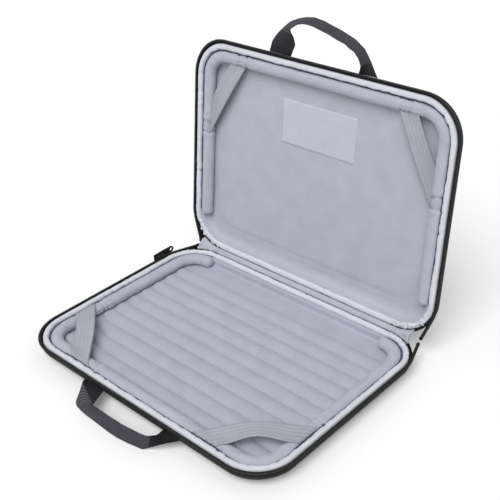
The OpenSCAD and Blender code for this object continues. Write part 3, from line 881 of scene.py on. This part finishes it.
def zip_coil(half):
    """The nylon coil, wound round its cord."""
    path, s = even(zip_path(0.8), COIL_PITCH / COIL_TURN_STEPS)
    n = len(s)
    turn = (2 * math.pi * s / COIL_PITCH)[:, None]
    flat = np.zeros(n)
    onwards = np.stack([-path[:, 3], path[:, 2], flat], 1)
    outwards = np.stack([path[:, 2], path[:, 3], flat], 1)
    upwards = np.array([[0, 0, 1.0]])
    out = outwards * np.cos(turn) + upwards * np.sin(turn)
    middle = np.stack([path[:, 0], path[:, 1], flat + COIL_Z], 1) + outwards * COIL_D
    centre = middle + out * COIL_R
    swing = (upwards * np.cos(turn) - outwards * np.sin(turn)) * (2 * math.pi * COIL_R)
    tangent = swing + onwards * COIL_PITCH
    tangent /= np.linalg.norm(tangent, axis=1, keepdims=True)
    beside = np.cross(tangent, out)
    angle = np.linspace(0, 2 * math.pi, WIRE_POINTS, endpoint=False)[None, :, None]
    wire = (centre[:, None] + out[:, None] * WIRE_R * np.cos(angle)
            + beside[:, None] * WIRE_R * WIRE_FLATTER * np.sin(angle)).reshape(-1, 3)
    path, s = even(zip_path(1.0), 3.0)
    angle = np.linspace(0, 2 * math.pi, CORD_POINTS, endpoint=False)
    cord = swept(path, repeated(COIL_D + CORD_R * np.cos(angle), len(s)),
                 repeated(COIL_Z + CORD_R * np.sin(angle), len(s))).reshape(-1, 3)
    faces = tube_faces(n, WIRE_POINTS) + tube_faces(len(s), CORD_POINTS, start=len(wire))
    piece(half + "_zip_coil_wound", np.concatenate([wire, cord]), faces, half, half, COIL,
          replaces=[half + "_zip_coil"])


for half in HALVES:
    zip_tape(half)
    zip_coil(half)


# ---- Spine: outer cloth and lining across the hinge, shaped for the case at rest. y and z are from the hinge axis, in mm, and
# rho is how far in front of it the walls are ----

COVER_ANGLE = 32  # degrees of the hinge's corners at which the outer cloth ends
WEB_ANGLE = 57  # and at which the cloth across the gap ends
COVER_LOW, COVER_HIGH = -7.5, -2  # the outer cloth on a wall, as heights of a half's own frame
WALL_ROWS, ARC_ROWS = 5, 13


def lid_rel(y, z):
    """A place of the lid's own frame, y from the hinge, as y and z from the hinge axis at rest."""
    q = place([[0, HINGE_Y + y, z]], "lid")[0] * 1000
    return q[1] - HINGE_Y, q[2] - HINGE_Z


def corner_span(a_end):
    """x and rho, from one hinge corner through the back to the other."""
    t = np.radians(np.linspace(a_end, 90, 16))
    at_corner = ARC_X + CORNER_R * np.cos(t)
    behind = HINGE_Y - WALL_Y
    rho = CORNER_R * (1 - np.sin(t)) + behind
    mid = np.linspace(ARC_X, -ARC_X, 90)[1:-1]
    return (np.concatenate([at_corner, mid, -at_corner[::-1]]),
            np.concatenate([rho, np.full(mid.size, behind), rho[::-1]]))


def arc_between(b0, b1, shares, slack):
    """Rows of y, z round the axis from b0 on the base to b1 on the lid, drawn in by the slack."""
    r = np.hypot(*b0)
    a0, a1 = math.atan2(b0[1], b0[0]), math.atan2(b1[1], b1[0])
    a0 += 2 * math.pi if a0 < 0 else 0
    rows = []
    for t in shares:
        angle = a0 + (a1 - a0) * t
        reach = r * (1 - slack * math.sin(math.pi * t))
        rows.append((reach * math.cos(angle), reach * math.sin(angle)))
    return rows


def cover_rows(rho):
    """The outer cloth: up the base's wall, across the gap and up the lid's wall."""
    wall = np.linspace(COVER_LOW, COVER_HIGH, WALL_ROWS)
    low = [(-rho, z) for z in wall]
    high = [lid_rel(-rho, z) for z in wall[::-1]]
    return low + arc_between(low[-1], high[0], np.linspace(0, 1, ARC_ROWS)[1:-1], 0.16) + high


def lining_rows(rho):
    """The lining across the gap, a little in front of the outer cloth."""
    y, z = -rho - 2.2, -1.6
    return arc_between((y, z), lid_rel(y, z), np.linspace(0, 1, 11), 0.1)


def open_gap(grid):
    """Faces of the cover's grid in the gap between the walls, out beyond the web."""
    x = np.abs(grid[:-1, :-1, 0])
    j = np.arange(x.shape[1])[None, :]
    across_gap = (j >= WALL_ROWS - 1) & (j < x.shape[1] - WALL_ROWS + 1)
    return (x > ARC_X + CORNER_R * math.cos(math.radians(WEB_ANGLE))) & across_gap


def slab_faces(keep):
    """Faces of a slab of two grids of points, closed along its edges. keep is true for each face of the
    grid that is there."""
    n, m = keep.shape[0] + 1, keep.shape[1] + 1
    faces, edges = [], {}
    for i, j in np.argwhere(keep).tolist():
        q = [i * m + j, (i + 1) * m + j, (i + 1) * m + j + 1, i * m + j + 1]
        faces.append(q)
        faces.append([p + n * m for p in reversed(q)])
        for a, b in zip(q, q[1:] + q[:1]):
            if (b, a) in edges:
                del edges[(b, a)]
            else:
                edges[(a, b)] = True
    return faces + [[b, a, a + n * m, b + n * m] for a, b in edges]


def web_sheet(name, span, rows, thick, material, nodes, seed, crumple, gap=None):
    """Cloth between the two halves at rest. span gives x and rho, and rows(rho) gives y and z."""
    grid = np.array([[(x, HINGE_Y + y, HINGE_Z + z) for y, z in rows(rho)] for x, rho in zip(*span)])
    n, m = grid.shape[:2]
    nor = unit(np.cross(np.gradient(grid, axis=0), np.gradient(grid, axis=1)))
    s, v = lengths(grid[:, m // 2]), lengths(grid[n // 2])
    S, V = np.meshgrid(s, v, indexing="ij")
    at_corner = smooth((np.abs(grid[..., 0]) - ARC_X + 12) / 16)
    folds = wob(S / 6, V / 4, seed) + 3.4 * at_corner * wob(S / 3.4, V / 3.0, seed + 4)
    lift = (crumple * np.sin(np.linspace(0, math.pi, m))[None, :] * folds)[..., None]
    points = np.concatenate([(grid + nor * (lift + thick / 2)).reshape(-1, 3),
                             (grid + nor * (lift - thick / 2)).reshape(-1, 3)])
    keep = ~gap(grid) if gap else np.ones((n - 1, m - 1), bool)
    faces = slab_faces(keep)
    used = sorted({p for f in faces for p in f})
    index = {p: i for i, p in enumerate(used)}
    faces = [[index[p] for p in f] for f in faces]
    cloth = np.concatenate([cloth_grid(s, v)] * 2)[used]
    obj = piece(name, points[used], faces, None, None, material, cloth, nodes)
    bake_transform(obj)
    return obj


web_sheet("spine_cover_cloth", corner_span(COVER_ANGLE), cover_rows, 0.8, SPINE,
          ["base_spine_cover", "lid_spine_cover"], seed=90, crumple=0.25, gap=open_gap)
web_sheet("spine_lining_cloth", corner_span(WEB_ANGLE), lining_rows, 0.6, LINING,
          ["base_spine_lining", "lid_spine_lining"], seed=95, crumple=0.6)


# ---- Patch on the lid's lining, with its stitches ----

PATCH_HALF_W, PATCH_HALF_H, PATCH_Y = 50.0, 25.0, -56.0
SEAM_IN = 2.2  # from the patch's edge to its stitches
STITCH_L, STITCH_GAP, STITCH_R, STITCH_POINTS = 2.6, 1.0, 0.32, 6
STITCH_Z = LINING_Z + 1.62
# a stitch's rings: share of its length, and share of its radius
STITCH_RINGS = ((0, 0.35), (0.12, 0.8), (0.3, 1), (0.7, 1), (0.88, 0.8), (1, 0.35))


def rounded_loop(hx, hy, cy, r):
    """A closed line round a rectangle of half sizes hx and hy, with corners of radius r."""
    pts = []
    for sx, sy, a0 in ((1, 1, 0), (-1, 1, 90), (-1, -1, 180), (1, -1, 270)):
        for t in np.radians(np.linspace(a0, a0 + 90, 5)):
            pts.append((sx * (hx - r) + r * math.cos(t), cy + sy * (hy - r) + r * math.sin(t)))
    return np.array(pts + pts[:1])


def stitch(p, q):
    """A short thread from p to q that dips at its ends."""
    p, q = np.array(p, float), np.array(q, float)
    way = (q - p) / np.linalg.norm(q - p)
    beside = np.cross(way, (0, 0, 1))
    beside /= max(np.linalg.norm(beside), 1e-9)
    above = np.cross(beside, way)
    rings = []
    for u, w in STITCH_RINGS:
        c = p + (q - p) * u + above * STITCH_R * (0.35 * math.sin(math.pi * u) - 0.25)
        rings += [c + STITCH_R * w * (math.cos(a) * beside + math.sin(a) * above)
                  for a in np.linspace(0, 2 * math.pi, STITCH_POINTS, endpoint=False)]
    return np.array(rings)


def stitches(name, line, half, material):
    """A row of stitches along a line of x, y."""
    s = lengths(line)
    count = int(s[-1] / (STITCH_L + STITCH_GAP))
    pitch = s[-1] / count
    threads, faces = [], []
    for i in range(count):
        ends = [(np.interp(u, s, line[:, 0]), np.interp(u, s, line[:, 1]), STITCH_Z)
                for u in (i * pitch, (i + 1) * pitch - STITCH_GAP)]
        faces += tube_faces(len(STITCH_RINGS), STITCH_POINTS, start=sum(len(t) for t in threads))
        threads.append(stitch(*ends))
    points = np.concatenate(threads)
    return piece(name, points, faces, half, half, material, points)


def patch():
    """Ribbed cloth laid on the lining, its edge rounded and drawn down along the stitches."""
    x = np.linspace(-PATCH_HALF_W, PATCH_HALF_W, 70)
    y = np.linspace(PATCH_Y - PATCH_HALF_H, PATCH_Y + PATCH_HALF_H, 36)
    X, Y = np.meshgrid(x, y, indexing="ij")
    edge = np.minimum(PATCH_HALF_W - np.abs(X), PATCH_HALF_H - np.abs(Y - PATCH_Y))
    top = LINING_Z + 1.15 + 0.75 * np.sqrt(np.clip(edge / 2.0, 0.02, 1)) + 0.1 * wob(X / 9, Y / 9, 2)
    top -= 0.35 * bell(edge, SEAM_IN, 0.5)
    low = np.full_like(top, LINING_Z - 0.2)
    points = np.concatenate([np.stack([X, Y, z], -1).reshape(-1, 3) for z in (top, low)])
    faces = slab_faces(np.ones((len(x) - 1, len(y) - 1), bool))
    cloth = piece("lid_patch_cloth", points, faces, "lid", "lid", PATCH, points * (1, 1, 0),
                  ["lid_patch"])
    line = rounded_loop(PATCH_HALF_W - SEAM_IN, PATCH_HALF_H - SEAM_IN, PATCH_Y, 2.0)
    sewn = stitches("lid_patch_stitches", line, "lid", THREAD)


patch()

# ---- CAD pieces that stay, with their materials ----
STAYS = {"base_shell": SHELL, "lid_shell": SHELL, "base_zip_stops": STOP, "lid_zip_stops": STOP,
         "zip_slider": METAL, "zip_puller": METAL}

for obj in scene.objects:
    material = STAYS.get(obj.get("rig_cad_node"))
    if material:
        if not obj.material_slots:
            obj.data.materials.append(material)
        for slot in obj.material_slots:
            slot.link = "OBJECT"
            slot.material = material


# ---- Stage and light ----

SKY, SUN_SHARE, FLOOR_GLOW = 0.45, 0.55, 0.16
SUN_FROM = Vector((0.35, -0.8, 1.25)).normalized()
SUN_ANGLE = 38  # degrees
FLOOR_TONE = 0.86
FLOOR_HALF = 6  # metres


def seen_or_mirrored(tree):
    """A socket that is 1 for the camera and for mirrors and glass, and 0 for light on the object."""
    path = tree.nodes.new("ShaderNodeLightPath")
    most = path.outputs["Is Camera Ray"]
    for other in ("Is Glossy Ray", "Is Transmission Ray"):
        n = tree.nodes.new("ShaderNodeMath")
        n.operation = "MAXIMUM"
        tree.links.new(most, n.inputs[0])
        tree.links.new(path.outputs[other], n.inputs[1])
        most = n.outputs[0]
    return most


def scaled(tree, socket, by, plus=0.0):
    """A socket's value times by, plus a number."""
    n = tree.nodes.new("ShaderNodeMath")
    n.operation = "MULTIPLY_ADD"
    tree.links.new(socket, n.inputs[0])
    n.inputs[1].default_value = by
    n.inputs[2].default_value = plus
    return n.outputs[0]


def add_floor():
    """Pale floor, with a faint glow that only the camera and mirrors see."""
    material = bpy.data.materials.new("floor")
    material.use_nodes = True
    tree = material.node_tree
    bsdf = tree.nodes["Principled BSDF"]
    bsdf.inputs["Base Color"].default_value = (FLOOR_TONE, FLOOR_TONE, FLOOR_TONE, 1)
    bsdf.inputs["Roughness"].default_value = 0.9
    bsdf.inputs["Specular IOR Level"].default_value = 0.1
    glow = tree.nodes.new("ShaderNodeEmission")
    tree.links.new(scaled(tree, seen_or_mirrored(tree), FLOOR_GLOW), glow.inputs["Strength"])
    both = tree.nodes.new("ShaderNodeAddShader")
    tree.links.new(bsdf.outputs[0], both.inputs[0])
    tree.links.new(glow.outputs[0], both.inputs[1])
    tree.links.new(both.outputs[0], tree.nodes["Material Output"].inputs["Surface"])
    mesh = bpy.data.meshes.new("floor")
    corners = [(x * FLOOR_HALF, y * FLOOR_HALF, 0) for x, y in ((-1, -1), (1, -1), (1, 1), (-1, 1))]
    mesh.from_pydata(corners, [], [(0, 1, 2, 3)])
    mesh.materials.append(material)
    floor = bpy.data.objects.new("floor", mesh)
    scene.collection.objects.link(floor)


def add_light():
    """A white surround, weaker as light than as it is seen, and a large soft lamp from the front."""
    world = bpy.data.worlds.new("world")
    scene.world = world
    world.use_nodes = True
    tree = world.node_tree
    sky = tree.nodes["Background"]
    sky.inputs["Color"].default_value = (1, 1, 1, 1)
    tree.links.new(scaled(tree, seen_or_mirrored(tree), 1 - SKY, SKY), sky.inputs["Strength"])
    sun = bpy.data.lights.new("sun", "SUN")
    sun.angle = math.radians(SUN_ANGLE)
    sun.energy = SUN_SHARE * math.pi / SUN_FROM.z
    lamp = bpy.data.objects.new("sun", sun)
    scene.collection.objects.link(lamp)
    lamp.rotation_euler = SUN_FROM.to_track_quat("Z", "Y").to_euler()


add_floor()
add_light()

scene.view_settings.view_transform = "Standard"
